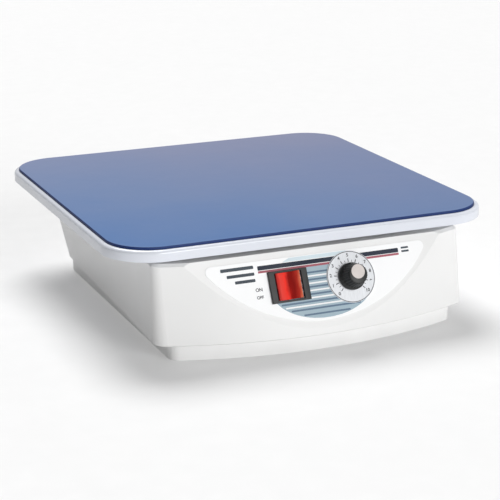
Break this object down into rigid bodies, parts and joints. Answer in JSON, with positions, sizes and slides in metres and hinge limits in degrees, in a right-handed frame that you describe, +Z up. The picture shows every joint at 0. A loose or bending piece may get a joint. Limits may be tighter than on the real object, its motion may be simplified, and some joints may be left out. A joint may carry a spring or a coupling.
{
  "type": "orbital shaker",
  "caption": "Flat-topped laboratory orbital shaker: a square matted platform orbits on cranks over a low white case with a sloping front panel carrying a rocker switch and a speed knob.",
  "frame": {"origin": "on the table under the main crank's axis, which is the middle of the footprint", "axes": "+Z up, -Y to the front panel, +X to the right as seen from the front"},
  "size_m": [0.3, 0.3233, 0.086],
  "materials": {
    "white_abs": "satin white moulded ABS",
    "white_enamel": "white enamel on pressed aluminium",
    "blue_rubber": "blue ribbed rubber, matt",
    "black_rubber": "matt black rubber",
    "zinc_steel": "zinc plated steel",
    "screw_steel": "plated screws and nuts",
    "ground_steel": "ground bright steel",
    "cast_aluminium": "machined aluminium",
    "bronze": "sintered bronze",
    "black_plastic": "black moulded plastic",
    "red_lens": "translucent red moulding",
    "terminal_brass": "tinned brass",
    "satin_cap": "spun aluminium",
    "dial_silver": "silver printed dial",
    "label_print": "printed polyester label",
    "board_green": "solder-masked circuit board",
    "transformer_steel": "varnished laminations"
  },
  "bodies": {
    "base": {"base_tray": "white_abs", "chassis_plate": "zinc_steel", "chassis_screws": "screw_steel", "foot_front_left": "black_rubber", "foot_front_right": "black_rubber", "foot_rear_left": "black_rubber", "foot_rear_right": "black_rubber", "foot_screws": "screw_steel", "housing": "white_abs", "housing_screws": "screw_steel", "bearing_pillar": "cast_aluminium", "lower_bearing": "ground_steel", "upper_bearing": "ground_steel", "idler_post_front_left": "cast_aluminium", "idler_post_front_right": "cast_aluminium", "idler_post_rear_left": "cast_aluminium", "idler_post_rear_right": "cast_aluminium", "idler_post_bushes": "bronze", "motor_bracket": "zinc_steel", "motor_body": "zinc_steel", "drive_belt": "black_rubber", "small_screws": "screw_steel", "switch_body": "black_plastic", "switch_terminals": "terminal_brass", "speed_pot": "black_plastic", "pot_nut": "screw_steel", "dial_plate": "dial_silver", "control_overlay": "label_print", "controller_board": "board_green", "board_standoffs": "ground_steel", "transformer": "transformer_steel", "filter_capacitor": "black_plastic", "heat_sink": "cast_aluminium", "power_inlet": "black_plastic", "inlet_pins": "terminal_brass", "inlet_screws": "screw_steel"},
    "crank": {"crankshaft": "ground_steel", "driven_pulley": "cast_aluminium", "eccentric_disc": "cast_aluminium", "crank_pin": "ground_steel", "counterweight": "zinc_steel", "counterweight_screws": "screw_steel"},
    "platform": {"platform_tray": "white_enamel", "platform_mat": "blue_rubber", "platform_hub": "cast_aluminium", "hub_bearing": "ground_steel", "hub_screws": "screw_steel", "platform_pin_bushes": "bronze"},
    "motor_rotor": {"motor_shaft": "ground_steel", "motor_pulley": "cast_aluminium"},
    "rocker": {"switch_rocker": "red_lens"},
    "knob": {"control_knob": "black_plastic", "knob_cap": "satin_cap", "pot_shaft": "ground_steel"},
    "idler_front_left": {"idler_crank_front_left": "ground_steel"},
    "idler_front_right": {"idler_crank_front_right": "ground_steel"},
    "idler_rear_left": {"idler_crank_rear_left": "ground_steel"},
    "idler_rear_right": {"idler_crank_rear_right": "ground_steel"}
  },
  "joints": [
    {"name": "crank_spin", "type": "hinge", "parent": "base", "child": "crank", "pos_m": [0, 0, 0.04], "axis": [0, 0, 1], "continuous": true},
    {"name": "platform_orbit", "type": "hinge", "parent": "crank", "child": "platform", "pos_m": [0, 0.01, 0.07], "axis": [0, 0, 1], "continuous": true},
    {"name": "motor_spin", "type": "hinge", "parent": "base", "child": "motor_rotor", "pos_m": [0.08, 0, 0.04], "axis": [0, 0, 1], "continuous": true},
    {"name": "rocker_tilt", "type": "hinge", "parent": "base", "child": "rocker", "pos_m": [-0.0255, -0.14617, 0.04812], "axis": [0, 0.4305, 0.9026], "range_deg": [0, 20]},
    {"name": "knob_turn", "type": "hinge", "parent": "base", "child": "knob", "pos_m": [0.0235, -0.14776, 0.04943], "axis": [0, -0.9026, 0.4305], "range_deg": [-135, 135]},
    {"name": "idler_front_left_spin", "type": "hinge", "parent": "base", "child": "idler_front_left", "pos_m": [-0.085, -0.085, 0.05], "axis": [0, 0, 1], "continuous": true},
    {"name": "idler_front_right_spin", "type": "hinge", "parent": "base", "child": "idler_front_right", "pos_m": [0.085, -0.085, 0.05], "axis": [0, 0, 1], "continuous": true},
    {"name": "idler_rear_left_spin", "type": "hinge", "parent": "base", "child": "idler_rear_left", "pos_m": [-0.085, 0.085, 0.05], "axis": [0, 0, 1], "continuous": true},
    {"name": "idler_rear_right_spin", "type": "hinge", "parent": "base", "child": "idler_rear_right", "pos_m": [0.085, 0.085, 0.05], "axis": [0, 0, 1], "continuous": true}
  ],
  "couplings": [
    {"joint": "platform_orbit", "follows": "crank_spin", "ratio": -1},
    {"joint": "motor_spin", "follows": "crank_spin", "ratio": 5},
    {"joint": "idler_front_left_spin", "follows": "crank_spin", "ratio": 1},
    {"joint": "idler_front_right_spin", "follows": "crank_spin", "ratio": 1},
    {"joint": "idler_rear_left_spin", "follows": "crank_spin", "ratio": 1},
    {"joint": "idler_rear_right_spin", "follows": "crank_spin", "ratio": 1}
  ]
}
